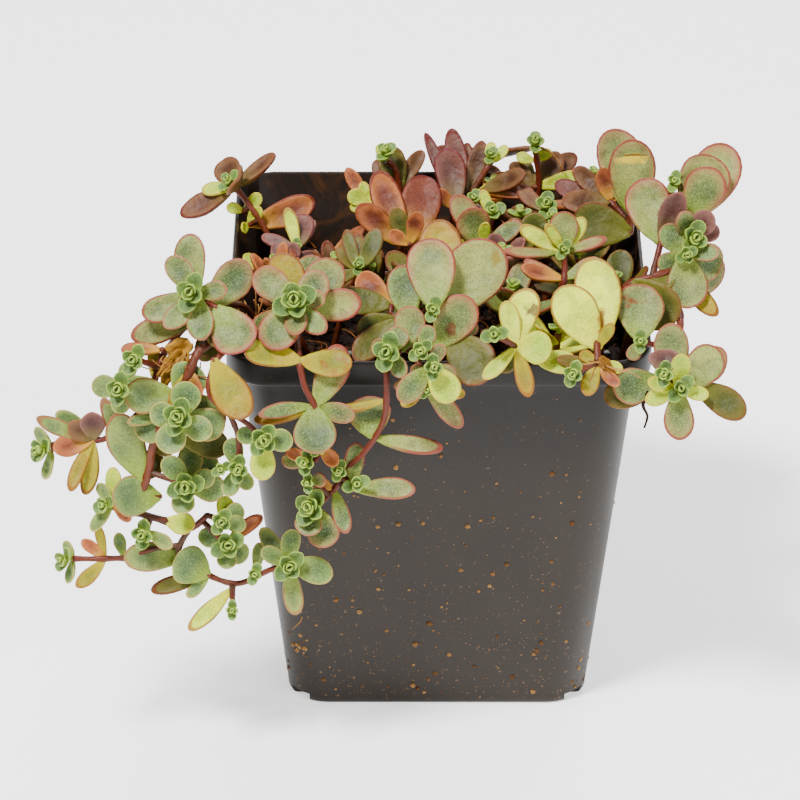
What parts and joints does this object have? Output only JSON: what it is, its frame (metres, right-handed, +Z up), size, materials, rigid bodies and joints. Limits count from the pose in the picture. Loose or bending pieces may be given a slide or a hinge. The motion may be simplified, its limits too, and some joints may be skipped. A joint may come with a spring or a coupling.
{
  "type": "potted sedum",
  "caption": "A trailing sedum with thick spoon-shaped leaves in a square dark plastic nursery pot of soil.",
  "frame": {"origin": "centre of the pot's underside, on the ground", "axes": "+Z up, -Y towards the front of the pot, +X to the right as seen from the front"},
  "size_m": [0.1522, 0.1209, 0.1172],
  "materials": {
    "pot_plastic": "satin",
    "peat": "matt",
    "glaucous_leaf": "satin",
    "lime_leaf": "satin",
    "olive_leaf": "satin",
    "yellow_leaf": "satin",
    "rust_leaf": "satin",
    "bronze_leaf": "satin",
    "plum_leaf": "satin"
  },
  "bodies": {
    "root": {"pot": "pot_plastic", "soil": "peat", "front_left_rosette": "glaucous_leaf", "front_rosette": "glaucous_leaf", "front_sprig_left": "glaucous_leaf", "front_sprig_right": "glaucous_leaf", "centre_bunch": "glaucous_leaf", "centre_paddles": "glaucous_leaf", "inner_front_leaves": "olive_leaf", "finger_sprig": "olive_leaf", "back_left_sprig": "bronze_leaf", "back_left_low_sprig": "plum_leaf", "back_red_sprig": "rust_leaf", "back_top_sprig": "bronze_leaf", "back_purple_sprig": "plum_leaf", "back_dry_sprig": "bronze_leaf", "mid_sprout_left": "glaucous_leaf", "mid_sprout_right": "bronze_leaf", "right_mid_sprig": "glaucous_leaf", "yellow_paddles": "yellow_leaf", "front_right_sprig": "lime_leaf", "right_back_paddles": "glaucous_leaf", "right_upper_sprig": "glaucous_leaf", "right_lower_sprig": "glaucous_leaf", "left_trunk": "glaucous_leaf", "left_outer_stem": "glaucous_leaf", "left_inner_stem": "glaucous_leaf", "right_rim_sprig": "glaucous_leaf", "back_rim_sprig": "bronze_leaf", "low_sprig_1": "rust_leaf", "low_sprig_2": "bronze_leaf", "low_sprig_3": "bronze_leaf", "low_sprig_4": "olive_leaf", "low_sprig_5": "olive_leaf", "low_sprig_6": "glaucous_leaf", "low_sprig_7": "plum_leaf", "low_sprig_8": "bronze_leaf", "low_sprig_9": "rust_leaf", "low_sprig_10": "plum_leaf", "low_sprig_11": "rust_leaf", "low_sprig_12": "olive_leaf", "low_sprig_13": "olive_leaf", "low_sprig_14": "lime_leaf"}
  },
  "joints": []
}
